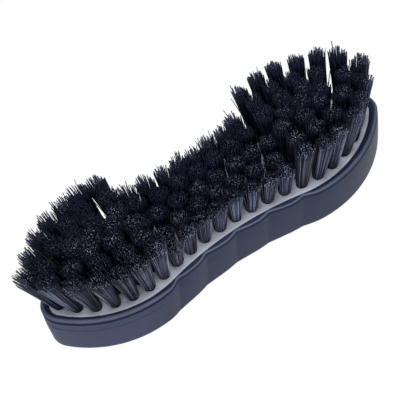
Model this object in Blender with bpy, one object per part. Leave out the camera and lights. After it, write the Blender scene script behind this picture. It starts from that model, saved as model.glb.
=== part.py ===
"""An hourglass hand brush that lies on its back, bristles up.

A soft grip jacket wraps the sides and the back of a hard block. The block carries the tufts, in
an outer ring, an inner ring, a short third ring in each lobe and a row along the middle line. The
bristles are trimmed short at the waist and long at both ends, where they fan out. Each column of
tufts is one object with the slice of the block's face that it grows from.

Metres, +Z up. +X runs along the brush, and the origin is under the middle of its flat back.
"""
import math
import random

import bmesh
import bpy
from mathutils import Vector, geometry

mm = 0.001

# Outline of the grip, seen from above: waist, shoulder and end arcs, tangent to each other
length = 190.0 * mm
lobe_half_width = 27.3 * mm
waist_half_width = 21.5 * mm
lobe_x = 49.4 * mm
end_radius = 10.4 * mm
waist_steps = 10
shoulder_steps = 9
end_steps = 4

# Fits
clearance = 0.3 * mm
overrun = 5.0 * mm
merge_distance = 0.001 * mm

# Grip jacket
face_height = 26.4 * mm
rim_width = 3.9 * mm
rim_crest_inset = 1.3 * mm
rim_crest_rise = 0.6 * mm
bead_depth = 0.9 * mm
groove_width = 1.4 * mm
groove_depth = 0.8 * mm
band_depth = 6.5 * mm
band_step = 0.25 * mm
side_draft = 1.7 * mm
side_draft_power = 1.6
back_fillet = 5.0 * mm
fillet_steps = 4
jacket_floor = 3.0 * mm

# Finger pads along the waist: the top of the wall leans in, and creases part the pads
crease_count = 5
crease_pitch = 17.8 * mm
crease_lean = 2.6 * mm
crease_top_depth = 1.2 * mm
crease_back_depth = 0.6 * mm
crease_roundness = 2.2
pad_recess = 1.7 * mm
pad_fade = 16.0 * mm

# Rib that keys the jacket into the block
key_height = 11.0 * mm
key_width = 2.4 * mm
key_depth = 0.8 * mm

# Block
slice_thickness = 2.4 * mm
block_deck = 12.0 * mm
block_wall = 3.0 * mm
rib_thickness = 2.0 * mm
pocket_count = 6
pocket_end_inset = 9.0 * mm
pocket_steps = 6

# Tufts
tuft_margin = 4.8 * mm
tuft_pitch = 8.85 * mm
ring_spacing = 6.6 * mm

# Bristles
long_bristle = 34.2 * mm
short_bristle = 21.2 * mm
short_trim_reach = 36.0 * mm
trim_scatter = 1.6 * mm
side_fan_radius = 79.0 * mm
left_end_fan = 13.7 * mm
right_end_fan = 5.5 * mm
strands_per_tuft = 5
tuft_core = 0.55 * mm
tuft_radius = 2.2 * mm
tuft_tip_core = 1.0 * mm
tuft_tip_radius = 3.2 * mm
strand_gap = 0.24 * mm
strand_tip_gap = 0.6 * mm
strand_sink = 0.8 * mm
bristle_seed = 7

# Arcs that follow from the outline's sizes
half_length = length / 2
end_centre_x = half_length - end_radius
shoulder_run = end_centre_x - lobe_x
shoulder_radius = (shoulder_run ** 2 + lobe_half_width ** 2 - end_radius ** 2) / (
    2 * (lobe_half_width - end_radius))
shoulder_centre_y = lobe_half_width - shoulder_radius
waist_fall = waist_half_width - shoulder_centre_y
waist_radius = (lobe_x ** 2 + waist_fall ** 2 - shoulder_radius ** 2) / (
    2 * (lobe_half_width - waist_half_width))
waist_centre_y = waist_half_width + waist_radius
waist_turn = math.atan2(shoulder_centre_y - waist_centre_y, lobe_x)
end_turn = math.atan2(-shoulder_centre_y, shoulder_run)

# Places that follow from the sizes
block_inset = rim_width + clearance / 2
jacket_inset = rim_width - clearance / 2
outer_ring_inset = rim_width + tuft_margin
inner_ring_inset = outer_ring_inset + ring_spacing
slice_base = face_height - slice_thickness
block_top = slice_base - clearance
block_base = jacket_floor + clearance
tuft_ground = tuft_radius / math.cos(math.pi / strands_per_tuft)


def quarter_arcs(inset):
    """Arcs of one quarter, waist to end: centre, radius, first and last angle, outward sign."""
    shoulder_end = end_turn
    if inset > end_radius:
        shoulder_end = math.asin(-shoulder_centre_y / (shoulder_radius - inset))
    arcs = [
        ((0, waist_centre_y), waist_radius + inset, -math.pi / 2, waist_turn, -1),
        ((lobe_x, shoulder_centre_y), shoulder_radius - inset, waist_turn + math.pi, shoulder_end, 1),
    ]
    if inset < end_radius:
        arcs.append(((end_centre_x, 0), end_radius - inset, end_turn, 0, 1))
    return arcs


def on_arc(arc, share):
    """Point and outward normal at a share of the way along an arc."""
    centre, radius, first, last, outward = arc
    angle = first + share * (last - first)
    across = (math.cos(angle), math.sin(angle))
    point = (centre[0] + radius * across[0], centre[1] + radius * across[1])
    return point, (outward * across[0], outward * across[1])


def arc_length(arc):
    return arc[1] * abs(arc[3] - arc[2])


def quarter_length(inset):
    return sum(arc_length(arc) for arc in quarter_arcs(inset))


def walk(inset, distance):
    """Point and outward normal at a distance from the waist's middle, along one quarter."""
    arcs = quarter_arcs(inset)
    for arc in arcs:
        if distance <= arc_length(arc):
            return on_arc(arc, distance / arc_length(arc))
        distance -= arc_length(arc)
    return on_arc(arcs[-1], 1)


# Tufts in a quarter of the outer ring, whose first gap is half a gap past the waist's middle
outer_gaps = round(quarter_length(outer_ring_inset) / tuft_pitch - 0.5)
inner_gaps = outer_gaps - 2


def outline():
    """Points of the whole outline with their outward normals, counter-clockwise from +X."""
    quarter = []
    for arc, steps in zip(quarter_arcs(0), (waist_steps, shoulder_steps, end_steps)):
        quarter += [on_arc(arc, step / steps) for step in range(steps)]
    quarter.append(on_arc(quarter_arcs(0)[-1], 1))
    loop = []
    for sign_x, sign_y in ((1, 1), (-1, 1), (-1, -1), (1, -1)):
        outward = quarter if sign_x * sign_y < 0 else quarter[::-1]
        for (x, y), (normal_x, normal_y) in outward[:-1]:
            loop.append(((sign_x * x, sign_y * y), (sign_x * normal_x, sign_y * normal_y)))
    return loop


def new_object(name, mesh_builder):
    """Object whose mesh comes from a closed bmesh with its faces turned outward."""
    bmesh.ops.recalc_face_normals(mesh_builder, faces=mesh_builder.faces)
    mesh = bpy.data.meshes.new(name)
    mesh_builder.to_mesh(mesh)
    mesh_builder.free()
    part = bpy.data.objects.new(name, mesh)
    bpy.context.scene.collection.objects.link(part)
    return part


def loft(name, rings):
    """Closed solid through rings of points, with a flat cap on the first and the last."""
    builder = bmesh.new()
    loops = [[builder.verts.new(point) for point in ring] for ring in rings]
    for low, high in zip(loops, loops[1:]):
        for index in range(len(low)):
            following = (index + 1) % len(low)
            builder.faces.new((low[index], low[following], high[following], high[index]))
    builder.faces.new(loops[0][::-1])
    builder.faces.new(loops[-1])
    return new_object(name, builder)


def prism(name, polygon, base, top):
    """Upright prism on a polygon of (x, y) points."""
    return loft(name, [[(x, y, height) for x, y in polygon] for height in (base, top)])


def hide_tool(part):
    """A cutter or a blank, which isn't a piece of the brush."""
    part.hide_render = True
    part.display_type = "WIRE"
    return part


def combine(part, other, operation):
    modifier = part.modifiers.new(operation.lower(), "BOOLEAN")
    modifier.operation = operation
    modifier.object = other
    modifier.solver = "EXACT"


def plastic(name, colour, roughness):
    material = bpy.data.materials.new(name)
    material.use_nodes = True
    shader = material.node_tree.nodes["Principled BSDF"]
    shader.inputs["Base Color"].default_value = (*colour, 1)
    shader.inputs["Roughness"].default_value = roughness
    material.diffuse_color = (*colour, 1)
    return material


# Grip jacket


def crease_share(x, depth):
    """How far a place is sunk into a crease: 1 on the crease line, 0 from half a pitch away."""
    share = 0
    for number in range(crease_count):
        shift = crease_lean * depth / face_height
        middle = (number - (crease_count - 1) / 2) * crease_pitch - shift
        nearness = max(0, 1 - abs(x - middle) / (crease_pitch / 2))
        share = max(share, nearness ** crease_roundness)
    return share


def pad_zone_share(x):
    """1 along the finger pads, fading to 0 on the way to the lobes."""
    pads_end = (crease_count - 1) / 2 * crease_pitch
    fade = min(1, max(0, (abs(x) - pads_end) / pad_fade))
    return 0.5 + 0.5 * math.cos(math.pi * fade)


def grip_recess(x, depth):
    """How far the finger pads and creases lie inside the plain side of the grip."""
    down = max(0, depth) / face_height
    zone = pad_zone_share(x)
    crease = crease_share(x, depth)
    crease_depth = crease_top_depth + (crease_back_depth - crease_top_depth) * down
    return zone * (pad_recess * (1 - down) ** 1.5) + crease * crease_depth


def side_inset(depth):
    """Draft of the grip's side, which curves in more and more towards the back."""
    return side_draft * (depth / face_height) ** side_draft_power


def grip_ring(loop, inset, height, relief_share):
    """Ring of the jacket's outside at one height; the relief is the pads and creases."""
    ring = []
    for (x, y), (normal_x, normal_y) in loop:
        reach = inset + relief_share * grip_recess(x, face_height - height)
        ring.append((x - normal_x * reach, y - normal_y * reach, height))
    return ring


def jacket_profile():
    """Inset, height and relief share of each ring, from the back up the outside to the rim."""
    fillet_centre = back_fillet
    fillet_inset = side_inset(face_height - back_fillet)
    profile = []
    for step in range(fillet_steps + 1):
        angle = math.pi / 2 * step / fillet_steps
        inset = fillet_inset + back_fillet * (1 - math.sin(angle))
        profile.append((inset, fillet_centre - back_fillet * math.cos(angle), math.sin(angle)))
    groove_top = face_height - bead_depth
    groove_base = groove_top - groove_width
    band_base = face_height - band_depth
    side_height = band_base - back_fillet
    for share in (0.28, 0.55, 0.8):
        height = back_fillet + side_height * share
        profile.append((side_inset(face_height - height), height, 1))
    profile.append((side_inset(band_depth), band_base - band_step, 1))
    profile.append((side_inset(band_depth) + band_step, band_base, 1))
    profile.append((band_step / 2, (band_base + groove_base) / 2, 1))
    profile.append((band_step, groove_base, 1))
    profile.append((groove_depth, groove_top - groove_width / 2, 0.95))
    profile.append((band_step, groove_top, 0.9))
    profile.append((0, face_height - bead_depth / 2, 0.85))
    profile.append((rim_crest_inset / 4, face_height + rim_crest_rise / 2, 0.8))
    profile.append((rim_crest_inset, face_height + rim_crest_rise, 0.65))
    middle_inset = (rim_crest_inset + jacket_inset) / 2
    profile.append((middle_inset, face_height + rim_crest_rise * 0.6, 0.3))
    return profile


def jacket_inside():
    """Inset and height of each ring down the inside of the jacket, with its keying rib."""
    rib_low = key_height - key_width / 2
    rib_high = key_height + key_width / 2
    return [
        (jacket_inset, face_height),
        (jacket_inset, rib_high),
        (jacket_inset + key_depth, rib_high - key_depth),
        (jacket_inset + key_depth, rib_low + key_depth),
        (jacket_inset, rib_low),
        (jacket_inset, jacket_floor),
    ]


def plain_ring(loop, inset, height):
    return [(x - nx * inset, y - ny * inset, height) for (x, y), (nx, ny) in loop]


def make_jacket(loop):
    rings = [grip_ring(loop, inset, height, share) for inset, height, share in jacket_profile()]
    rings += [plain_ring(loop, inset, height) for inset, height in jacket_inside()]
    jacket = loft("grip_jacket", rings)
    jacket.data.materials.append(plastic("soft_grip", (0.062, 0.07, 0.105), 0.5))
    return jacket


# Block


def half_width(x, inset):
    """Half width of the outline at a place along the brush, measured inside an inset."""
    for arc in quarter_arcs(inset):
        centre, radius, first, last, outward = arc
        reach = centre[0] + radius * math.cos(last)
        if abs(x) <= reach:
            return centre[1] + outward * math.sqrt(radius ** 2 - (abs(x) - centre[0]) ** 2)
    return 0


def pocket_polygon(start, stop, inset):
    """Outline of one pocket under the block, between two cross ribs."""
    xs = [start + (stop - start) * step / pocket_steps for step in range(pocket_steps + 1)]
    low = [(x, -half_width(x, inset)) for x in xs]
    return low + [(x, -y) for x, y in reversed(low)]


def block_side():
    """Inset and height of each ring of the block's side, with the groove for the keying rib."""
    rib_low = key_height - key_width / 2 - clearance
    rib_high = key_height + key_width / 2 + clearance
    return [
        (block_inset, block_base),
        (block_inset, rib_low),
        (block_inset + key_depth, rib_low + key_depth),
        (block_inset + key_depth, rib_high - key_depth),
        (block_inset, rib_high),
        (block_inset, block_top),
    ]


def make_block(loop):
    block = loft("brush_block", [plain_ring(loop, inset, height) for inset, height in block_side()])
    inset = block_inset + key_depth + block_wall
    reach = half_length - inset - pocket_end_inset
    pitch = (2 * reach + rib_thickness) / pocket_count
    ceiling = block_top - block_deck
    for number in range(pocket_count):
        start = -reach + number * pitch
        polygon = pocket_polygon(start, start + pitch - rib_thickness, inset)
        pocket = hide_tool(prism(f"pocket_cutter_{number + 1}", polygon, -overrun, ceiling))
        combine(block, pocket, "DIFFERENCE")
    block.data.materials.append(plastic("block_grey", (0.42, 0.42, 0.43), 0.38))
    return block


# Tufts


def outer_foot(number):
    """Foot of a tuft of the outer ring, counted from the waist; the last one is at the end."""
    pitch = quarter_length(outer_ring_inset) / (outer_gaps + 0.5)
    return walk(outer_ring_inset, (number + 0.5) * pitch)[0]


def inner_foot(number):
    """Foot of a tuft of the inner ring, counted from the waist's middle."""
    return walk(inner_ring_inset, number * quarter_length(inner_ring_inset) / inner_gaps)[0]


def core_feet(column):
    """Feet inside the inner ring: one of a third ring if it has room, and one on the axis."""
    x, y = inner_foot(column)
    next_x, next_y = inner_foot(column + 1)
    feet = []
    if y > 1.5 * ring_spacing:
        feet.append((x, y - ring_spacing))
    if (y + next_y) / 2 > 0.75 * ring_spacing:
        feet.append(((x + next_x) / 2, 0))
    return feet


def half_row(column):
    """Feet of one column on the +X side, from the edge of the face to its axis."""
    row = [outer_foot(column)]
    if column < inner_gaps:
        return row + [inner_foot(column)] + core_feet(column)
    if column == inner_gaps:
        return row + [(inner_foot(column)[0], 0)]
    return row + [(outer_foot(outer_gaps)[0], 0)]


def full_row(column):
    """Feet of one column in order, from edge to edge; the left columns count below zero."""
    half = half_row(abs(column))
    row = half + [(x, -y) for x, y in reversed(half) if y > 0]
    side = -1 if column < 0 else 1
    return [(side * x, y) for x, y in row]


def column_feet(column):
    """Feet of one column; the middle one, number 0, lies on both sides of the waist's middle."""
    feet = full_row(column)
    if column == 0:
        feet += [(-x, y) for x, y in feet if x > clearance]
    return feet


# Ground of a column: what is nearer to its feet than to those of the other columns


def bridges(column):
    """Middles between a row's feet that are far apart, so that its ground stays in one piece."""
    row = full_row(column)
    steps = [step for step in zip(row, row[1:]) if math.dist(*step) > 1.5 * ring_spacing]
    return [((start[0] + end[0]) / 2, (start[1] + end[1]) / 2) for start, end in steps]


def sites(column):
    """Feet, with the radius of ground that each needs, and bridges, which need none."""
    feet = [(foot, tuft_ground) for foot in column_feet(column)]
    return feet + [(place, 0) for place in bridges(column)]


def trim(polygon, origin, across, limit):
    """What a convex polygon has within a limit from an origin, measured in one direction."""
    depths = [(x - origin[0]) * across[0] + (y - origin[1]) * across[1] - limit for x, y in polygon]
    kept = []
    for index, start in enumerate(polygon):
        end = polygon[(index + 1) % len(polygon)]
        here, there = depths[index], depths[(index + 1) % len(polygon)]
        if here <= 0:
            kept.append(start)
        if here * there < 0:
            share = here / (here - there)
            kept.append((start[0] + share * (end[0] - start[0]), start[1] + share * (end[1] - start[1])))
    return kept


def cell(site, rivals):
    """Convex ground that a site wins from the other columns' sites, less half a gap."""
    place, ground = site
    reach = half_length + overrun
    polygon = [(-reach, -reach), (reach, -reach), (reach, reach), (-reach, reach)]
    for rival_place, rival_ground in rivals:
        distance = math.dist(place, rival_place)
        across = [(there - here) / distance for here, there in zip(place, rival_place)]
        limit = (distance ** 2 + ground ** 2 - rival_ground ** 2) / (2 * distance) - clearance / 2
        polygon = trim(polygon, place, across, limit)
    return polygon


def cover(cells):
    """Corners of the ground that convex cells cover together, in order."""
    points = []
    faces = []
    for polygon in cells:
        faces.append(range(len(points), len(points) + len(polygon)))
        points += [Vector(point) for point in polygon]
    merged = geometry.delaunay_2d_cdt(points, [], faces, 1, merge_distance)
    builder = bmesh.new()
    corners = [builder.verts.new((*point, 0)) for point in merged[0]]
    for triangle in merged[2]:
        builder.faces.new([corners[index] for index in triangle])
    bmesh.ops.dissolve_faces(builder, faces=builder.faces[:])
    polygon = [tuple(corner.co.xy) for corner in builder.faces[:][0].verts]
    builder.free()
    return polygon


def slice_polygon(column):
    """Ground of one column; the plate blank trims its ends."""
    rivals = []
    for other in range(1 - outer_gaps, outer_gaps):
        if other != column:
            rivals += sites(other)
    return cover([cell(site, rivals) for site in sites(column)])


# Strands


def lean(x, y):
    """Slope of a tuft along X and Y: the ends and the sides fan out."""
    fan = left_end_fan if x < 0 else right_end_fan
    end_slope = fan / long_bristle * (x / half_length) ** 2
    return math.copysign(end_slope, x), y / side_fan_radius


def wedge(centre, turn, core, reach, gap, heights):
    """Three corners of one strand's section, a wedge of the tuft's circle, at two heights."""
    half_angle = math.pi / strands_per_tuft
    side = reach * math.tan(half_angle) - gap / 2 / math.cos(half_angle)
    corners = []
    for along, across, height in (
        (core, 0, heights[0]),
        (reach, -side, heights[1]),
        (reach, side, heights[1]),
    ):
        x = centre[0] + along * math.cos(turn) - across * math.sin(turn)
        y = centre[1] + along * math.sin(turn) + across * math.cos(turn)
        corners.append((x, y, face_height + height))
    return corners


def strand(foot, turn, inner_rise, outer_rise):
    """Low and high end of one strand, which is sunk a little into the slice."""
    slope = lean(*foot)
    low_centre = (foot[0] - slope[0] * strand_sink, foot[1] - slope[1] * strand_sink)
    high_centre = (foot[0] + slope[0] * inner_rise, foot[1] + slope[1] * inner_rise)
    low = wedge(low_centre, turn, tuft_core, tuft_radius, strand_gap, (-strand_sink, -strand_sink))
    high = wedge(high_centre, turn, tuft_tip_core, tuft_tip_radius, strand_tip_gap,
                 (inner_rise, outer_rise))
    return low, high


def make_strands(name, feet, rise, chance):
    """All strands of one column in one tool object, which is then joined to its slice."""
    builder = bmesh.new()
    for foot in feet:
        first_turn = chance.uniform(0, math.tau)
        for number in range(strands_per_tuft):
            turn = first_turn + number * math.tau / strands_per_tuft
            cuts = [rise - chance.uniform(0, trim_scatter) for _ in range(2)]
            low, high = strand(foot, turn, *cuts)
            low = [builder.verts.new(point) for point in low]
            high = [builder.verts.new(point) for point in high]
            builder.faces.new(low[::-1])
            builder.faces.new(high)
            for index in range(len(low)):
                following = (index + 1) % len(low)
                builder.faces.new((low[index], low[following], high[following], high[index]))
    return hide_tool(new_object(name, builder))


def make_column(name, column, plate_blank, chance):
    """One slice of the block's face with its tufts."""
    row = prism(name, slice_polygon(column), slice_base, face_height)
    feet = column_feet(column)
    rise = long_bristle if abs(feet[0][0]) > short_trim_reach else short_bristle
    strands = make_strands(f"{name}_strands", feet, rise, chance)
    row.data.materials.append(bpy.data.materials["block_grey"])
    strands.data.materials.append(bpy.data.materials["bristle_black"])
    combine(row, plate_blank, "INTERSECT")
    combine(row, strands, "UNION")
    row.modifiers[-1].material_mode = "TRANSFER"
    return row


def make_tufts(loop):
    chance = random.Random(bristle_seed)
    plastic("bristle_black", (0.009, 0.01, 0.016), 0.4)
    blank = [(x - nx * block_inset, y - ny * block_inset) for (x, y), (nx, ny) in loop]
    plate_blank = hide_tool(prism("plate_blank", blank, slice_base - overrun, face_height + overrun))
    make_column("bristle_row_middle", 0, plate_blank, chance)
    for side, word in ((-1, "left"), (1, "right")):
        for column in range(1, outer_gaps):
            make_column(f"bristle_row_{word}_{column}", side * column, plate_blank, chance)


def clear_scene():
    for leftover in list(bpy.data.objects):
        bpy.data.objects.remove(leftover)


def main():
    clear_scene()
    loop = outline()
    make_jacket(loop)
    make_block(loop)
    make_tufts(loop)


main()
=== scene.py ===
"""The looks of the hourglass hand brush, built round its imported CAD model.

The soft grip jacket is drawn again with many more points, the block's face is one moulded plate
with a hole for each tuft, and every tuft has its own bent filaments with cut ends.

Metres, +Z up. +X runs along the brush, and the origin is under the middle of its flat back.
The photo's near side is -Y. Depths on the jacket's side are counted down from the tufted face.
"""
import math
import random
from collections import namedtuple

import bmesh
import bpy
from mathutils import Matrix, Vector
from mathutils.geometry import delaunay_2d_cdt


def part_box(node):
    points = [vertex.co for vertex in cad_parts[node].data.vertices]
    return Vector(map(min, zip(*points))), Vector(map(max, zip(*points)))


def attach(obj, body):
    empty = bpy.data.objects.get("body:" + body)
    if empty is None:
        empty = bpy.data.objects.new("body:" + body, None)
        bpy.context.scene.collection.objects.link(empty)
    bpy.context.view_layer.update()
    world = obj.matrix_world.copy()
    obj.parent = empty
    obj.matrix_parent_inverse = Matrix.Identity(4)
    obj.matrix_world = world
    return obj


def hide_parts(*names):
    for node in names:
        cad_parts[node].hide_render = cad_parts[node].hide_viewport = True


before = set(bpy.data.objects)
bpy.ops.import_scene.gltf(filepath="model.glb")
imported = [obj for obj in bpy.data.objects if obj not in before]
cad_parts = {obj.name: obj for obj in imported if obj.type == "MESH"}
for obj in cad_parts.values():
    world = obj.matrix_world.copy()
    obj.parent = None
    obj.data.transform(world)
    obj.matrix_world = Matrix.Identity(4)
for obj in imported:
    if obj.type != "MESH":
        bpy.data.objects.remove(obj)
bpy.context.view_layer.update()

mm = 0.001
block_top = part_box("brush_block")[1].z

# A name that ends in _fade holds where a local change starts and over what length it eases in.

# Outline of the grip, seen from above: waist, shoulder and end arcs, tangent to each other
half_length = 95.0 * mm
lobe_half_width = 27.3 * mm
waist_half_width = 21.5 * mm
lobe_x = 49.4 * mm
end_radius = 10.4 * mm
outline_spacing = 0.8 * mm

# Grip jacket
face_height = 26.4 * mm
clearance = 0.3 * mm
side_draft = 1.7 * mm
side_draft_power = 1.6
back_fillet = 5.0 * mm
jacket_floor = 3.0 * mm
left_lobe_fade = (-60 * mm, 24 * mm)

# Rim round the face: a bead outside, a crest, and a slope down to the plate
rim_width = 3.9 * mm
rim_crest_inset = 2.0 * mm
rim_crest_rise = 1.0 * mm
rim_slope_power = 1.5
waist_rim_gain = 0.35 * mm
waist_rim_fade = (30 * mm, 50 * mm)
waist_crest_share = 0.35
waist_crest_shift = 0.95 * mm
right_crest_shift = 0.5 * mm
right_crest_fade = (36 * mm, 20 * mm)
crest_sway = 0.6

# Groove under the bead, and the step line below it with its notch
groove_width = 1.8 * mm
groove_depth = 1.0 * mm
groove_power = 0.5
faint_groove = 0.35
band_depth = 6.2 * mm
band_step = 0.25 * mm
band_run = 3 * band_step
band_notch = 0.25 * mm
notch_reach = 2 * band_step

# Painted light on the jacket: above 0 a painted highlight, and below 0 painted shade
bead_highlight = 1.3
side_shade = 0.42
rim_shade = 0.4

# Levels of the jacket's outside
fillet_steps = 10
side_steps = 22
band_steps = 20
band_spacing = 0.3 * mm
groove_steps = 12
bead_steps = 12
slope_steps = 6

# Finger pads along the waist, with creases between them
crease_count = 5
crease_pitch = 17.8 * mm
crease_lean = 0.1
crease_top_depth = 1.5 * mm
crease_back_depth = 0.6 * mm
crease_softness = 0.5 * mm
crown_share = 0.62
pad_recess = 0.3 * mm
pad_recess_power = 1.5
pad_end_length = 16.0 * mm
wrinkle_depths = (3.0 * mm, 4.4 * mm, 6.0 * mm)
wrinkle_size = 0.18 * mm
wrinkle_half_width = 0.35 * mm
wrinkle_reach = 10.0 * mm
wrinkle_slant = 0.06

# Tuft holes in the face, whose lips are given as shares of their width and rise
tuft_margin = 4.8 * mm
ring_spacing = 6.6 * mm
outer_gaps = 10
inner_gaps = 8
pair_room = 1.5 * ring_spacing
axis_room = 0.75 * ring_spacing
hole_radius = 2.8 * mm
hole_depth = 1.6 * mm
hole_sides = 28
lip_width = 0.18 * mm
lip_rise = 0.14 * mm
lip_profile = ((1, 0), (0.6, 0.8), (0.3, 1), (0, 0.4))
plate_round = 0.4 * mm
plate_bevel = 0.12 * mm
facing_gain = 2
flat_normal = 0.9999

# Height and lean of the tufts, as slopes
long_bristle = 34.2 * mm
short_bristle = 21.2 * mm
first_long_column = 4
side_fan_radius = 79.0 * mm
left_end_fan = 0.40
left_set = 0.04
left_set_fade = (5 * mm, 25 * mm)
left_set_end_fade = (-80 * mm, 25 * mm)
right_end_fan = 0.16
right_fan_centre = 56.0 * mm
right_fan_radius = 200.0 * mm
right_fan_fade = (22.0 * mm, 16 * mm)
far_fan_length = 12 * mm
far_left_set = 0.72
far_right_set = 0.8
far_set_fade = (10 * mm, 25 * mm)
tuft_tilt_scatter = 0.018

# Width of the tufts
tuft_radius = 2.6 * mm
tuft_bulge = 0.3 * mm
bulge_height = 2.0 * mm
tuft_tip_radius = 4.7 * mm
flare_power = 1.15
left_splay = 0.7 * mm
left_splay_fade = (20 * mm, 30 * mm)
waist_splay = 0.2 * mm
waist_splay_fade = (28 * mm, 8 * mm)
right_gather = 0.8 * mm
right_gather_fade = (25 * mm, 15 * mm)
far_gather_fade = (6 * mm, 8 * mm)

# Trim of the tufts, of their clumps and of single filaments
tuft_height_scatter = 0.6 * mm
tuft_height_range = (-1, 0.3)
clumps = 9
clump_scatter = 0.6 * mm
trim_scatter = 1.8 * mm
tuft_dome = 0.2 * mm

# Filaments
filaments_per_tuft = 125
filament_radius = 0.21 * mm
filament_radius_range = (0.85, 1.1)
filament_steps = 6
filament_sides = 4
filament_foot_depth = 0.8 * hole_depth
place_shake = 0.03
turn_shake = 0.12
usual_scatter = 0.4
tip_bend = 0.55 * mm
stray_share = 0.05
stray_bend = 4.0 * mm
stray_rise = 2.4 * mm
bristle_seed = 11

# Tones of the filaments and of their cut ends, 0 dark to 1 pale. Apart from a random tone, a pale
# tone on the outward side of an outer tuft is a painted highlight, and the dark inner filaments,
# the darker cut ends at a tuft's edge and those on the far side are painted shade
strands = 36
strand_share = 0.5
tone_power = 2.3
inner_shade = 0.03
pale_power = 2
pale_spread = 0.85
tuft_pale_range = (0.3, 1.15)
far_shade = 0.6
far_shade_length = 12 * mm

# Arcs that follow from the outline's sizes
end_centre_x = half_length - end_radius
shoulder_run = end_centre_x - lobe_x
shoulder_radius = (shoulder_run ** 2 + lobe_half_width ** 2 - end_radius ** 2) / (
    2 * (lobe_half_width - end_radius))
shoulder_centre_y = lobe_half_width - shoulder_radius
waist_fall = waist_half_width - shoulder_centre_y
waist_radius = (lobe_x ** 2 + waist_fall ** 2 - shoulder_radius ** 2) / (
    2 * (lobe_half_width - waist_half_width))
waist_centre_y = waist_half_width + waist_radius
waist_turn = math.atan2(shoulder_centre_y - waist_centre_y, lobe_x)
end_turn = math.atan2(-shoulder_centre_y, shoulder_run)

# Places that follow from the sizes
plate_inset = rim_width + clearance / 2
jacket_inset = rim_width - clearance / 2
outer_ring_inset = rim_width + tuft_margin
inner_ring_inset = outer_ring_inset + ring_spacing
plate_base = block_top + clearance
middle_crease = (crease_count - 1) / 2
pads_half_length = middle_crease * crease_pitch


def quarter_arcs(inset):
    """Arcs of one quarter, waist to end: centre, radius, first and last angle, outward sign."""
    shoulder_end = end_turn
    if inset > end_radius:
        shoulder_end = math.asin(-shoulder_centre_y / (shoulder_radius - inset))
    waist = ((0, waist_centre_y), waist_radius + inset, -math.pi / 2, waist_turn, -1)
    shoulder = ((lobe_x, shoulder_centre_y), shoulder_radius - inset,
                waist_turn + math.pi, shoulder_end, 1)
    end = ((end_centre_x, 0), end_radius - inset, end_turn, 0, 1)
    return [waist, shoulder, end] if inset < end_radius else [waist, shoulder]


def on_arc(arc, share):
    """Point and outward normal at a share of the way along an arc."""
    centre, radius, first, last, sign = arc
    angle = first + share * (last - first)
    across = (math.cos(angle), math.sin(angle))
    point = (centre[0] + radius * across[0], centre[1] + radius * across[1])
    return point, (sign * across[0], sign * across[1])


def arc_length(arc):
    return arc[1] * abs(arc[3] - arc[2])


def quarter_length(inset):
    return sum(arc_length(arc) for arc in quarter_arcs(inset))


def walk(inset, distance):
    """Point and outward normal at a distance from the waist's middle, along one quarter."""
    arcs = quarter_arcs(inset)
    for arc in arcs:
        if distance <= arc_length(arc):
            return on_arc(arc, distance / arc_length(arc))
        distance -= arc_length(arc)
    return on_arc(arcs[-1], 1)


def outline():
    """Points of the whole outline with their outward normals, one quarter after another."""
    quarter = []
    for arc in quarter_arcs(0):
        steps = math.ceil(arc_length(arc) / outline_spacing)
        quarter += [on_arc(arc, step / steps) for step in range(steps)]
    quarter.append(on_arc(quarter_arcs(0)[-1], 1))
    loop = []
    for sign_x, sign_y in ((1, 1), (-1, 1), (-1, -1), (1, -1)):
        ordered = quarter if sign_x * sign_y < 0 else quarter[::-1]
        for (x, y), (normal_x, normal_y) in ordered[:-1]:
            loop.append(((sign_x * x, sign_y * y), (sign_x * normal_x, sign_y * normal_y)))
    return loop


def smooth_share(value):
    """Eases from 0 to 1 as the value goes from 0 to 1."""
    value = min(1, max(0, value))
    return value * value * (3 - 2 * value)


def faded(value, fade):
    """Eases from 0 to 1 over a fade."""
    start, length = fade
    return smooth_share((value - start) / length)


def add_object(name, mesh):
    piece = bpy.data.objects.new(name, mesh)
    bpy.context.scene.collection.objects.link(piece)
    return piece


def loft(name, rings):
    """Closed solid through rings of points, with a flat cap on the first and the last."""
    count = len(rings[0])
    points = [point for ring in rings for point in ring]
    faces = [list(range(count))[::-1]]
    for ring in range(len(rings) - 1):
        low, high = ring * count, (ring + 1) * count
        for index in range(count):
            following = (index + 1) % count
            faces.append((low + index, low + following, high + following, high + index))
    faces.append([len(points) - count + index for index in range(count)])
    mesh = bpy.data.meshes.new(name)
    mesh.from_pydata(points, [], faces)
    mesh.polygons.foreach_set("use_smooth", [True] * len(faces))
    mesh.polygons[0].use_smooth = False
    mesh.polygons[len(faces) - 1].use_smooth = False
    mesh.update()
    return add_object(name, mesh)


# Materials

grip_colours = (0.034, 0.044, 0.087), (0.040, 0.051, 0.099)
grip_highlight = (0.108, 0.127, 0.190)
grip_shade = (0.010, 0.013, 0.026)
grip_sheen = (0.6, 0.72, 1.0)
plastic_colours = (0.68, 0.72, 0.84), (0.74, 0.80, 0.96)
plate_waist_shade = (0.42, 0.43, 0.48)
plate_foot_shade = (0.13, 0.13, 0.14)
# The pale filament colour is reached on the outward side of the outer tufts, as a painted highlight
filament_colours = (0.0044, 0.0052, 0.0138), (0.31, 0.355, 0.55)
filament_root = (0.013, 0.015, 0.023)
filament_sheen = (0.55, 0.65, 1.0)
# The pale cut-end colour is partly frosting at the cut and partly a painted highlight
cut_end_colours = (0.004, 0.005, 0.012), (0.37, 0.42, 0.56)

# Most values of a noise texture lie between these
noise_low, noise_high = 0.3, 0.7


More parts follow.
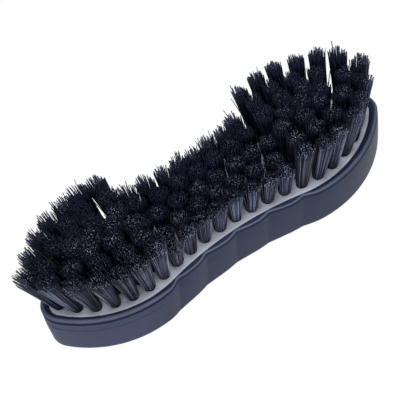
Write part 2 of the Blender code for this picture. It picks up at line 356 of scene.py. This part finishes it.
class Tree:
    """A material's nodes, made and joined in short calls."""

    def __init__(self, name):
        self.material = bpy.data.materials.new(name)
        self.material.use_nodes = True
        self.nodes = self.material.node_tree.nodes
        self.links = self.material.node_tree.links
        self.shader = self.nodes["Principled BSDF"]
        self.coordinates = self.nodes.new("ShaderNodeTexCoord").outputs["Object"]

    def node(self, kind, inputs=(), **settings):
        made = self.nodes.new(kind)
        for key, value in settings.items():
            setattr(made, key, value)
        for key, value in dict(inputs).items():
            self.put(made.inputs[key], value)
        return made

    def put(self, socket, value):
        """Links a socket or sets its value, in which a colour gets an alpha of 1."""
        if isinstance(value, bpy.types.NodeSocket):
            self.links.new(value, socket)
        else:
            socket.default_value = (*value, 1) if isinstance(value, tuple) else value

    def attribute(self, name):
        return self.node("ShaderNodeAttribute", attribute_name=name).outputs["Fac"]

    def noise(self, size, detail, roughness=0.5):
        """Noise whose blotches are about the given size across."""
        return self.node("ShaderNodeTexNoise", {
            "Vector": self.coordinates, "Scale": 1 / size, "Detail": detail, "Roughness": roughness,
        }).outputs["Fac"]

    def ranged(self, value, low, high, new_low=0.0, new_high=1.0):
        return self.node("ShaderNodeMapRange", {
            "Value": value, "From Min": low, "From Max": high,
            "To Min": new_low, "To Max": new_high,
        }).outputs["Result"]

    def varied(self, noise, new_low=0.0, new_high=1.0):
        """Noise stretched to a range."""
        return self.ranged(noise, noise_low, noise_high, new_low, new_high)

    def times(self, first, second):
        product = self.node("ShaderNodeMath", {0: first, 1: second}, operation="MULTIPLY")
        return product.outputs["Value"]

    def mixed(self, share, first, second):
        """Colour between two colours."""
        inputs = {"Factor": share, "A": first, "B": second}
        return self.node("ShaderNodeMix", inputs, data_type="RGBA").outputs["Result"]

    def bumped(self, height, strength, distance, normal=None):
        inputs = {"Height": height, "Strength": strength, "Distance": distance}
        if normal is not None:
            inputs["Normal"] = normal
        return self.node("ShaderNodeBump", inputs).outputs["Normal"]

    def finish(self, **inputs):
        for key, value in inputs.items():
            self.put(self.shader.inputs[key.replace("_", " ").title().replace("Ior", "IOR")], value)
        return self.material


def soft_grip_material():
    """Satin soft-touch rubber, dark blue grey: fine grain, clouds, a painted highlight on the bead,
    and painted shade in the groove, on the rim's slope and on the side.
    """
    tree = Tree("soft_grip_rubber")
    clouds = tree.varied(tree.noise(size=14 * mm, detail=3))
    colour = tree.mixed(clouds, *grip_colours)
    wear = tree.attribute("wear")
    # Painted highlight where the painted light is above 0, painted shade where it is below 0
    colour = tree.mixed(tree.ranged(wear, low=0, high=1), colour, grip_highlight)
    colour = tree.mixed(tree.ranged(wear, low=0, high=-1), colour, grip_shade)
    grain = tree.noise(size=0.25 * mm, detail=3, roughness=0.6)
    waves = tree.noise(size=5 * mm, detail=2)
    fine = tree.bumped(grain, strength=0.25, distance=0.03 * mm)
    normal = tree.bumped(waves, strength=0.12, distance=0.3 * mm, normal=fine)
    patches = tree.noise(size=3 * mm, detail=4, roughness=0.6)
    roughness = tree.varied(patches, new_low=0.42, new_high=0.50)
    return tree.finish(base_color=colour, roughness=roughness, normal=normal,
                       specular_ior_level=0.13, specular_tint=grip_sheen)


def face_material():
    """Light grey moulded plastic with a fine spark-eroded texture, with painted shade at the waist
    and round the tuft feet.
    """
    tree = Tree("face_plastic")
    clouds = tree.varied(tree.noise(size=6 * mm, detail=3))
    colour = tree.mixed(clouds, *plastic_colours)
    # Painted shade at the waist, fading out towards the lobes
    along = tree.node("ShaderNodeSeparateXYZ", {0: tree.coordinates}).outputs["X"]
    away = tree.node("ShaderNodeMath", {0: along}, operation="ABSOLUTE").outputs["Value"]
    waist_shade = tree.ranged(away, low=15 * mm, high=60 * mm, new_low=0.6, new_high=0)
    colour = tree.mixed(waist_shade, colour, plate_waist_shade)
    # Painted shade round the tuft feet
    foot_shade = tree.attribute("foot_shade")
    foot_shading = tree.ranged(foot_shade, low=0.2, high=1, new_low=0, new_high=0.8)
    colour = tree.mixed(foot_shading, colour, plate_foot_shade)
    grain = tree.noise(size=0.3 * mm, detail=3, roughness=0.6)
    normal = tree.bumped(grain, strength=0.3, distance=0.04 * mm)
    roughness = tree.varied(tree.noise(size=2 * mm, detail=3), new_low=0.32, new_high=0.45)
    return tree.finish(base_color=colour, roughness=roughness, normal=normal)


def block_material():
    """The same plastic inside, with faint flow marks from the mould."""
    tree = Tree("block_plastic")
    flow = tree.varied(tree.noise(size=9 * mm, detail=4, roughness=0.6))
    colour = tree.mixed(flow, *plastic_colours)
    grain = tree.noise(size=0.4 * mm, detail=3)
    normal = tree.bumped(grain, strength=0.3, distance=0.05 * mm)
    return tree.finish(base_color=colour, roughness=0.42, normal=normal)


def filament_material():
    """Black nylon: each filament has its own tone, a pale one painted on the outward side of the
    outer tufts as a highlight, painted shade towards its root and its tip, and dust at its root.
    """
    tree = Tree("filament_black")
    tone = tree.attribute("tone")
    rise = tree.attribute("rise")
    # Painted shade: filaments darker towards their tip and towards their root
    tip = tree.ranged(rise, low=0.8, high=1, new_low=1, new_high=0.4)
    root = tree.ranged(rise, low=0.08, high=0.4, new_low=0.12, new_high=1)
    lit = tree.times(tip, root)
    colour = tree.mixed(tree.times(tone, lit), *filament_colours)
    dusty = tree.ranged(rise, low=0.04, high=0.14, new_low=0.5, new_high=0)
    colour = tree.mixed(dusty, colour, filament_root)
    flecks = tree.noise(size=0.5 * mm, detail=2)
    roughness = tree.varied(flecks, new_low=0.28, new_high=0.42)
    grain = tree.noise(size=0.3 * mm, detail=2)
    normal = tree.bumped(grain, strength=0.2, distance=0.03 * mm)
    return tree.finish(base_color=colour, roughness=roughness, normal=normal,
                       specular_ior_level=0.2, specular_tint=filament_sheen)


def cut_end_material():
    """The cut end of a filament, rougher than its side and often paler, partly from frosting at the
    cut and partly as a painted highlight, with painted shade at a tuft's edge and on the far side.
    """
    tree = Tree("filament_cut_end")
    colour = tree.mixed(tree.attribute("pale"), *cut_end_colours)
    grain = tree.noise(size=0.12 * mm, detail=2)
    normal = tree.bumped(grain, strength=0.4, distance=0.04 * mm)
    return tree.finish(base_color=colour, roughness=0.5, normal=normal, specular_ior_level=0.15)


# Grip jacket

# One level of the outside: its inset and height, its share of the pads and creases (relief), of
# the rim's gain at the waist (inner) and of the crest's shift (crest), how deep the groove and the
# step line cut there, and its painted light (above 0 a painted highlight, below 0 painted shade)
Level = namedtuple("Level", "inset height relief inner crest groove line wear",
                   defaults=(1, 0, 0, 0, 0, 0))


def crease_share(x, depth):
    """How far a place is sunk into a crease: 1 on its line. A pad's crown lies past its middle."""
    share = 0
    for number in range(crease_count):
        middle = (number - middle_crease) * crease_pitch - crease_lean * depth
        away = x - middle
        reach = crease_pitch * (crown_share if away > 0 else 1 - crown_share)
        softened = math.hypot(away, crease_softness) - crease_softness
        share = max(share, max(0, 1 - softened / reach) ** 2)
    return share


def pad_zone_share(x):
    """1 along the finger pads, fading to 0 on the way to the lobes."""
    fade = min(1, max(0, (abs(x) - pads_half_length) / pad_end_length))
    return 0.5 + 0.5 * math.cos(math.pi * fade)


def wrinkles(x, depth):
    """Fine folds that run from each crease along the next pad and fade out."""
    past = (x + pads_half_length) % crease_pitch
    strength = max(0, 1 - past / wrinkle_reach) * (abs(x) < crease_count / 2 * crease_pitch)
    aways = [(depth - place - wrinkle_slant * past) / wrinkle_half_width
             for place in wrinkle_depths]
    return strength * wrinkle_size * sum(math.exp(-away * away) for away in aways)


def grip_recess(x, depth):
    """How far the finger pads and creases lie inside the plain side of the grip."""
    down = max(0, depth) / face_height
    crease_depth = crease_top_depth + (crease_back_depth - crease_top_depth) * down
    pads = pad_zone_share(x) * pad_recess * (1 - down) ** pad_recess_power
    return pads + crease_share(x, depth) * crease_depth + wrinkles(x, depth)


def left_lobe_share(x):
    """1 on the left lobe, where groove and step line are crisp, fading to 0 at the waist."""
    return 1 - faded(x, left_lobe_fade)


def groove_share(x):
    return faint_groove + (1 - faint_groove) * left_lobe_share(x)


def rim_gain(x):
    """How much narrower the rim's inner side is at the waist than on the lobes."""
    return waist_rim_gain * (1 - faded(abs(x), waist_rim_fade))


def crest_shift(x):
    """How much further out the crest lies than on the left lobe."""
    right_share = faded(x, right_crest_fade)
    shift = waist_crest_shift + (right_crest_shift - waist_crest_shift) * right_share
    sway = 1 + crest_sway * (0.5 - crease_share(x, 0)) * pad_zone_share(x)
    return shift * sway * (1 - left_lobe_share(x))


def side_inset(depth):
    """Draft of the grip's side, which curves in more and more towards the back."""
    return side_draft * (max(0, depth) / face_height) ** side_draft_power


def back_profile():
    """Levels round the edge of the flat back."""
    fillet_inset = side_inset(face_height - back_fillet)
    profile = []
    for step in range(fillet_steps):
        angle = math.pi / 2 * step / fillet_steps
        inset = fillet_inset + back_fillet * (1 - math.sin(angle))
        profile.append(Level(inset, back_fillet * (1 - math.cos(angle)), relief=math.sin(angle)))
    return profile


def side_profile():
    """Levels from the back's fillet up to the groove's foot."""
    side_depth = face_height - back_fillet
    depths = [side_depth + (groove_width - side_depth) * step / side_steps
              for step in range(side_steps)]
    depths += [groove_width + band_spacing * step for step in range(1, band_steps)]
    profile = []
    for depth in sorted(depths, reverse=True):
        below_step = smooth_share(0.5 + (depth - band_depth) / band_run)
        line = band_step / 2 * (1 - below_step)
        line += band_notch * max(0, 1 - abs(depth - band_depth) / notch_reach)
        profile.append(Level(side_inset(depth), face_height - depth, line=line))
    return profile


def rim_profile():
    """Levels from the groove over the bead and the crest to the face."""
    profile = []
    for step in range(groove_steps + 1):
        share = step / groove_steps
        inside = 0 < share < 1
        cut = groove_depth * math.sin(math.pi * share) ** groove_power if inside else 0
        height = face_height - groove_width * (1 - share)
        # Painted shade in the groove, as strong as the groove is deep
        profile.append(Level(0, height, groove=cut, line=band_step / 2, wear=-cut / groove_depth))
    for step in range(1, bead_steps + 1):
        angle = math.pi / 2 * step / bead_steps
        inset = rim_crest_inset * (1 - math.cos(angle))
        height = face_height + rim_crest_rise * math.sin(angle)
        # Painted highlight along the bead's outer shoulder
        highlight = bead_highlight * math.sin(2 * angle) * math.sin(angle)
        profile.append(Level(inset, height, crest=inset / rim_crest_inset, wear=highlight))
    for step in range(1, slope_steps + 1):
        share = step / slope_steps
        inset = rim_crest_inset + (jacket_inset - rim_crest_inset) * share
        height = face_height + rim_crest_rise * (1 - share ** rim_slope_power)
        profile.append(Level(inset, height, relief=1 - share, inner=share, crest=1 - share))
    return profile


def grip_ring(loop, level):
    """Ring of the jacket's outside at one level, with all the local changes there."""
    ring = []
    for (x, y), (normal_x, normal_y) in loop:
        reach = level.inset + level.relief * grip_recess(x, face_height - level.height)
        reach -= level.inner * rim_gain(x) + level.crest * crest_shift(x)
        reach += level.groove * groove_share(x)
        reach += level.line * left_lobe_share(x)
        height = level.height
        if height > face_height:
            height -= (height - face_height) * (1 - waist_crest_share) * pad_zone_share(x)
        ring.append((x - normal_x * reach, y - normal_y * reach, height))
    return ring


def inner_ring(loop, inset, height):
    """Ring round the plate: its inset from the outline is less at the waist."""
    ring = []
    for (x, y), (normal_x, normal_y) in loop:
        reach = inset - rim_gain(x)
        ring.append((x - normal_x * reach, y - normal_y * reach, height))
    return ring


def painted_light_at(level, x):
    """Painted light at a place: a painted highlight on the bead, and painted shade on the rim's
    slope, in the groove and on the side.
    """
    if level.wear > 0:
        return level.wear
    if level.inner > 0:
        return -rim_shade
    # Painted shade in the groove, and on the side away from the left lobe
    return level.wear * groove_share(x) - side_shade * (1 - left_lobe_share(x))


def make_jacket(loop):
    profile = back_profile() + side_profile() + rim_profile()
    rings = [grip_ring(loop, level) for level in profile]
    rings.append(inner_ring(loop, jacket_inset, plate_base))
    rings.append(inner_ring(loop, jacket_inset, jacket_floor))
    jacket = loft("grip_skin", rings)
    wear = [painted_light_at(level, x) for level in profile for (x, y), normal in loop]
    wear += [0] * (len(jacket.data.vertices) - len(wear))
    jacket.data.attributes.new("wear", "FLOAT", "POINT").data.foreach_set("value", wear)
    jacket.data.materials.append(soft_grip_material())
    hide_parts("grip_jacket")
    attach(jacket, "root")


# Tufts and the face that they stand in


def outer_place(number):
    """Foot and outward normal of a tuft of the outer ring, counted from the waist."""
    pitch = quarter_length(outer_ring_inset) / (outer_gaps + 0.5)
    return walk(outer_ring_inset, (number + 0.5) * pitch)


def inner_foot(number):
    """Foot of a tuft of the inner ring, counted from the waist's middle."""
    return walk(inner_ring_inset, number * quarter_length(inner_ring_inset) / inner_gaps)[0]


def core_feet(column):
    """Feet inside the inner ring: a pair where it has room, and one on the axis, half a step on."""
    x, y = inner_foot(column)
    following_x, following_y = inner_foot(column + 1)
    feet = []
    if y > pair_room:
        feet.append((x, y - ring_spacing))
    if (y + following_y) / 2 > axis_room:
        feet.append(((x + following_x) / 2, 0))
    return feet


def column_feet(column):
    """Feet of one column's tufts, on the +X side; column 0 is the middle one."""
    found = [outer_place(column)[0]]
    if column <= inner_gaps:
        found.append(inner_foot(column))
    if column < inner_gaps:
        found += core_feet(column)
    if column == outer_gaps - 1:
        found.append(outer_place(outer_gaps)[0])
    feet = []
    for x, y in found:
        feet.append((x, y))
        if y > clearance:
            feet.append((x, -y))
    if column == 0:
        feet += [(-x, y) for x, y in feet if x > clearance]
    return feet


def columns():
    """Name, number and feet of each column of tufts."""
    found = [("middle", 0, column_feet(0))]
    for side, word in ((-1, "left"), (1, "right")):
        for column in range(1, outer_gaps):
            feet = [(side * x, y) for x, y in column_feet(column)]
            found.append((f"{word}_{column}", column, feet))
    return found


def facing_out(foot):
    """Outward normal, times the gain, at a foot of the outer ring, and nothing at other feet."""
    for number in range(outer_gaps + 1):
        (x, y), normal = outer_place(number)
        if math.hypot(abs(foot[0]) - x, abs(foot[1]) - y) < clearance:
            return (facing_gain * math.copysign(normal[0], foot[0] * normal[0]),
                    facing_gain * math.copysign(normal[1], foot[1]))
    return 0, 0


def circle(centre, radius, sides):
    turns = [math.tau * side / sides for side in range(sides)]
    return [(centre[0] + radius * math.cos(turn), centre[1] + radius * math.sin(turn))
            for turn in turns]


def join_loops(builder, low, high):
    for index in range(len(low)):
        following = (index + 1) % len(low)
        builder.faces.new((low[index], low[following], high[following], high[index]))


def make_face(loop, feet):
    """The block's face: one plate with a raised lip round the blind hole of each tuft."""
    edge = [(plate_inset, plate_base), (plate_inset, face_height - plate_round),
            (plate_inset + plate_bevel, face_height - plate_bevel),
            (plate_inset + plate_round, face_height)]
    hole_profile = [(hole_radius + lip_width * out, lip_rise * up) for out, up in lip_profile]
    hole_profile.append((hole_radius, -hole_depth))
    builder = bmesh.new()
    foot_shade = builder.verts.layers.float.new("foot_shade")
    sides = [[builder.verts.new(point) for point in inner_ring(loop, *place)] for place in edge]
    for low, high in zip(sides, sides[1:]):
        join_loops(builder, low, high)
    builder.faces.new(sides[0][::-1])
    mouths = []
    for foot in feet:
        facing = facing_out(foot)
        rings = []
        for radius, rise in hole_profile:
            ring = circle(foot, radius, hole_sides)
            rings.append([builder.verts.new((x, y, face_height + rise)) for x, y in ring])
            # Painted shade round each foot: dark on its lip and in its hole, except on the outward
            # side of an outer tuft
            for vertex in rings[-1]:
                across = (vertex.co.x - foot[0], vertex.co.y - foot[1])
                out = (across[0] * facing[0] + across[1] * facing[1]) / (facing_gain * radius)
                vertex[foot_shade] = 0.5 - 0.5 * out if any(facing) else 1
        for high, low in zip(rings, rings[1:]):
            join_loops(builder, high, low)
        builder.faces.new(rings[-1])
        mouths.append(rings[0])
    fill_between(builder, sides[-1], mouths)
    bmesh.ops.recalc_face_normals(builder, faces=builder.faces)
    mesh = bpy.data.meshes.new("brush_face")
    builder.to_mesh(mesh)
    builder.free()
    sloped = [abs(face.normal.z) < flat_normal for face in mesh.polygons]
    mesh.polygons.foreach_set("use_smooth", sloped)
    face = add_object("brush_face", mesh)
    face.data.materials.append(face_material())
    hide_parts(*[f"bristle_row_{name}" for name, column, feet in columns()])
    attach(face, "root")


def fill_between(builder, rim, mouths):
    """Flat ground inside the rim and round the mouths of the holes."""
    loops = [rim] + mouths
    corners = [vertex for loop in loops for vertex in loop]
    areas = []
    start = 0
    for loop in loops:
        areas.append(list(range(start, start + len(loop))))
        start += len(loop)
    flat = [Vector(vertex.co[:2]) for vertex in corners]
    points, edges, triangles, sources, edge_sources, owners = delaunay_2d_cdt(
        flat, [], areas, 1, 1e-7)
    for triangle, areas_here in zip(triangles, owners):
        if areas_here == [0]:
            builder.faces.new([corners[sources[index][0]] for index in triangle])


def lean(x, y):
    """Slope of a tuft along X and Y: the ends and the sides fan out."""
    if x < 0:
        along = -left_end_fan * (x / half_length) ** 2
        along -= left_set * faded(-x, left_set_fade) * faded(x, left_set_end_fade)
        set_share = far_left_set
    else:
        along = right_end_fan * (x / half_length) ** 2
        fanned = (x - right_fan_centre) / right_fan_radius * faded(x, right_fan_fade)
        along += (fanned - along) * smooth_share(0.5 + y / far_fan_length)
        set_share = far_right_set
    lobe_share = faded(abs(x), far_set_fade) if y > 0 else 0
    return along, y / side_fan_radius * (1 - (1 - set_share) * lobe_share)


def tip_radius(x, y):
    """Tufts splay more at the left end and the waist, and less on the right lobe's far side."""
    splay = left_splay * faded(-x, left_splay_fade)
    gather = right_gather * faded(x, right_gather_fade) * faded(y, far_gather_fade)
    splay += waist_splay * (1 - faded(abs(x), waist_splay_fade))
    return tuft_tip_radius + splay - gather


def packed_disc(count, chance):
    """Places in a disc of radius 1, evenly packed and then shaken a little."""
    places = []
    golden = math.pi * (3 - math.sqrt(5))
    for index in range(count):
        radius = math.sqrt((index + 0.5) / count) + chance.uniform(-place_shake, place_shake)
        turn = index * golden + chance.uniform(-turn_shake, turn_shake)
        places.append((radius * math.cos(turn), radius * math.sin(turn)))
    return places


def filament_path(foot, place, slope, rise, chance):
    """Points along one filament, from inside its hole to its cut tip."""
    stray = chance.random() < stray_share
    bend = stray_bend if stray else tip_bend
    aside = (chance.gauss(0, usual_scatter) * bend, chance.gauss(0, usual_scatter) * bend)
    top = rise - abs(chance.gauss(0, usual_scatter)) * trim_scatter
    top -= tuft_dome * (place[0] ** 2 + place[1] ** 2)
    if stray:
        top += chance.random() * stray_rise
    path = []
    for step in range(filament_steps + 1):
        share = step / filament_steps
        height = -filament_foot_depth + (top + filament_foot_depth) * share
        spread = tuft_radius + tuft_bulge * smooth_share(height / bulge_height)
        spread += (tip_radius(*foot) - tuft_radius - tuft_bulge) * share ** flare_power
        x = foot[0] + slope[0] * height + place[0] * spread + aside[0] * share ** 2
        y = foot[1] + slope[1] * height + place[1] * spread + aside[1] * share ** 2
        path.append(Vector((x, y, face_height + height)))
    return path


def sweep(path, radius, turn):
    """Corners of a filament's section round each point of its path."""
    corners = []
    for index, point in enumerate(path):
        along = path[min(index + 1, len(path) - 1)] - path[max(index - 1, 0)]
        side = along.orthogonal().normalized()
        up = along.normalized().cross(side)
        for corner in range(filament_sides):
            angle = turn + math.tau * corner / filament_sides
            corners.append(point + radius * (math.cos(angle) * side + math.sin(angle) * up))
    return corners


def filament_faces(start):
    """Faces of the filament whose corners start at a number: its foot, its sides, its cut end."""
    around = range(filament_sides)
    end = start + filament_steps * filament_sides
    faces = [[start + corner for corner in around][::-1]]
    for low in range(start, end, filament_sides):
        high = low + filament_sides
        for corner in around:
            following = (corner + 1) % filament_sides
            faces.append((low + corner, low + following, high + following, high + corner))
    faces.append([end + corner for corner in around])
    return faces


def make_filaments(name, column, feet, materials):
    """All filaments of one column of tufts in one piece."""
    chance = random.Random(f"{bristle_seed} {name}")
    rise = long_bristle if column >= first_long_column else short_bristle
    points, faces, tones, pales = [], [], [], []
    for foot in feet:
        slope = [share + chance.gauss(0, 1) * tuft_tilt_scatter for share in lean(*foot)]
        trim = rise + chance.uniform(*tuft_height_range) * tuft_height_scatter
        facing = facing_out(foot)
        strand_tones = [chance.random() for strand in range(strands)]
        clump_trims = [trim + chance.gauss(0, 1) * clump_scatter for clump in range(clumps)]
        tuft_pale = chance.uniform(*tuft_pale_range)
        far_shading = far_shade * smooth_share(foot[1] / far_shade_length)
        for place in packed_disc(filaments_per_tuft, chance):
            turn = math.atan2(place[1], place[0]) / math.tau % 1
            path = filament_path(foot, place, slope, clump_trims[int(turn * clumps)], chance)
            radius = filament_radius * chance.uniform(*filament_radius_range)
            faces += filament_faces(len(points))
            points += sweep(path, radius, chance.uniform(0, math.tau))
            tone = strand_share * strand_tones[int(turn * strands)]
            tone += (1 - strand_share) * chance.random()
            # Painted light: filaments on the outward side of an outer tuft take a pale tone, the
            # others the dark inner shade
            shown = max(inner_shade, min(1, facing[0] * place[0] + facing[1] * place[1]))
            tones.append(shown * tone ** tone_power)
            # Painted shade on cut ends towards a tuft's edge and on the far side, and a painted
            # highlight on those facing out
            outer = math.hypot(*place) / pale_spread
            pale = chance.random() ** pale_power * max(0, 1 - outer ** 2, shown - inner_shade)
            pales.append(pale * (tuft_pale * (1 - far_shading)))
    heights = [step / filament_steps for step in range(filament_steps + 1)
               for side in range(filament_sides)]
    cut_ends = ([0] * (filament_steps * filament_sides + 1) + [1]) * len(tones)
    mesh = bpy.data.meshes.new(f"filaments_{name}")
    mesh.from_pydata(points, [], faces)
    for attribute, values in (
            ("tone", [tone for tone in tones for height in heights]),
            ("rise", heights * len(tones)),
            ("pale", [pale for pale in pales for height in heights])):
        mesh.attributes.new(attribute, "FLOAT", "POINT").data.foreach_set("value", values)
    mesh.polygons.foreach_set("use_smooth", [not cut for cut in cut_ends])
    mesh.polygons.foreach_set("material_index", cut_ends)
    mesh.update()
    piece = add_object(f"filaments_{name}", mesh)
    for material in materials:
        mesh.materials.append(material)
    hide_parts(f"bristle_row_{name}")
    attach(piece, "root")


def make_tufts(loop):
    found = columns()
    make_face(loop, [foot for name, column, feet in found for foot in feet])
    materials = (filament_material(), cut_end_material())
    for name, column, feet in found:
        make_filaments(name, column, feet, materials)


def dress_block():
    """The block inside keeps its CAD shape and takes the plastic of its face."""
    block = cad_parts["brush_block"]
    material = block_material()
    for material_slot in block.material_slots:
        material_slot.material = material


# Floor, light and camera

floor_half_size = 1.5
floor_shade = 0.86
backdrop_share = 0.985
world_strength = 0.36


def light_path_share(nodes, links, share):
    """A share where the camera, a glossy ray or a transmission ray looks, and 0 elsewhere."""
    path = nodes.new("ShaderNodeLightPath")
    total = path.outputs["Is Camera Ray"]
    for output in ("Is Glossy Ray", "Is Transmission Ray"):
        add = nodes.new("ShaderNodeMath")
        add.operation = "MAXIMUM"
        links.new(total, add.inputs[0])
        links.new(path.outputs[output], add.inputs[1])
        total = add.outputs[0]
    scaled = nodes.new("ShaderNodeMath")
    scaled.operation = "MULTIPLY"
    scaled.inputs[1].default_value = share
    links.new(total, scaled.inputs[0])
    return scaled.outputs[0]


def make_floor():
    """Pale floor, white to the camera, which keeps a faint shadow."""
    size = floor_half_size
    mesh = bpy.data.meshes.new("floor")
    corners = [(-size, -size, 0), (size, -size, 0), (size, size, 0), (-size, size, 0)]
    mesh.from_pydata(corners, [], [(0, 1, 2, 3)])
    floor = add_object("floor", mesh)
    material = bpy.data.materials.new("floor_white")
    material.use_nodes = True
    nodes, links = material.node_tree.nodes, material.node_tree.links
    shader = nodes["Principled BSDF"]
    shader.inputs["Base Color"].default_value = (floor_shade, floor_shade, floor_shade, 1)
    shader.inputs["Roughness"].default_value = 0.9
    shader.inputs["Specular IOR Level"].default_value = 0
    glow = nodes.new("ShaderNodeEmission")
    mix = nodes.new("ShaderNodeMixShader")
    links.new(light_path_share(nodes, links, backdrop_share), mix.inputs["Fac"])
    links.new(shader.outputs[0], mix.inputs[1])
    links.new(glow.outputs[0], mix.inputs[2])
    links.new(mix.outputs[0], nodes["Material Output"].inputs["Surface"])
    mesh.materials.append(material)


def make_world():
    """Even pale surroundings."""
    world = bpy.data.worlds.new("studio")
    world.use_nodes = True
    bpy.context.scene.world = world
    ambient = world.node_tree.nodes["Background"]
    ambient.inputs["Strength"].default_value = world_strength
    ambient.inputs["Color"].default_value = (1, 1, 1, 1)


def aim(thing, target):
    thing.rotation_euler = (target - thing.location).to_track_quat("-Z", "Y").to_euler()


def softbox(name, place, size, power):
    """Rectangular lamp that faces the middle of the brush; its power is in watts."""
    lamp = bpy.data.lights.new(name, "AREA")
    lamp.shape = "RECTANGLE"
    lamp.size, lamp.size_y = size
    lamp.energy = power
    light = bpy.data.objects.new(name, lamp)
    light.location = place
    aim(light, Vector((0, 0, face_height / 2)))
    bpy.context.scene.collection.objects.link(light)


def make_lights():
    softbox("overhead", place=(-0.1, -0.1, 1.0), size=(0.5, 0.4), power=9.5)
    softbox("front", place=(-0.75, -0.8, 0.08), size=(1.0, 0.14), power=3.1)
    softbox("key", place=(-0.35, -0.95, 0.72), size=(0.35, 0.25), power=1.5)
    softbox("right", place=(0.95, -0.35, 0.25), size=(0.5, 0.4), power=0.4)


# The camera, as fitted to the outline, the rim and the tufts in the 400-pixel photograph
camera_azimuth = -0.42299
camera_elevation = 0.94236
camera_roll = -0.22957
camera_distance = 1.0
camera_shift_right = -5.659 * mm
camera_shift_up = 2.462 * mm
photo_side_pixels = 400
focal_length_pixels = 2135.68
sensor_millimetres = 36


def make_camera():
    cos_up, sin_up = math.cos(camera_elevation), math.sin(camera_elevation)
    back = Vector((math.sin(camera_azimuth) * cos_up, -math.cos(camera_azimuth) * cos_up, sin_up))
    level = Vector((0, 0, 1)).cross(back).normalized()
    upright = back.cross(level)
    right = math.cos(camera_roll) * level + math.sin(camera_roll) * upright
    up = math.cos(camera_roll) * upright - math.sin(camera_roll) * level
    camera_data = bpy.data.cameras.new("camera")
    camera_data.sensor_width = sensor_millimetres
    camera_data.lens = focal_length_pixels / photo_side_pixels * sensor_millimetres
    camera_data.clip_start, camera_data.clip_end = 0.01, 20
    camera = bpy.data.objects.new("camera", camera_data)
    place = back * camera_distance + right * camera_shift_right + up * camera_shift_up
    place.z += face_height
    turn = Matrix((right, up, back)).transposed()
    camera.matrix_world = Matrix.Translation(place) @ turn.to_4x4()
    bpy.context.scene.collection.objects.link(camera)
    bpy.context.scene.camera = camera


def main():
    bpy.context.scene.view_settings.view_transform = "Standard"
    loop = outline()
    make_jacket(loop)
    make_tufts(loop)
    dress_block()
    make_floor()
    make_world()
    make_lights()
    make_camera()


main()
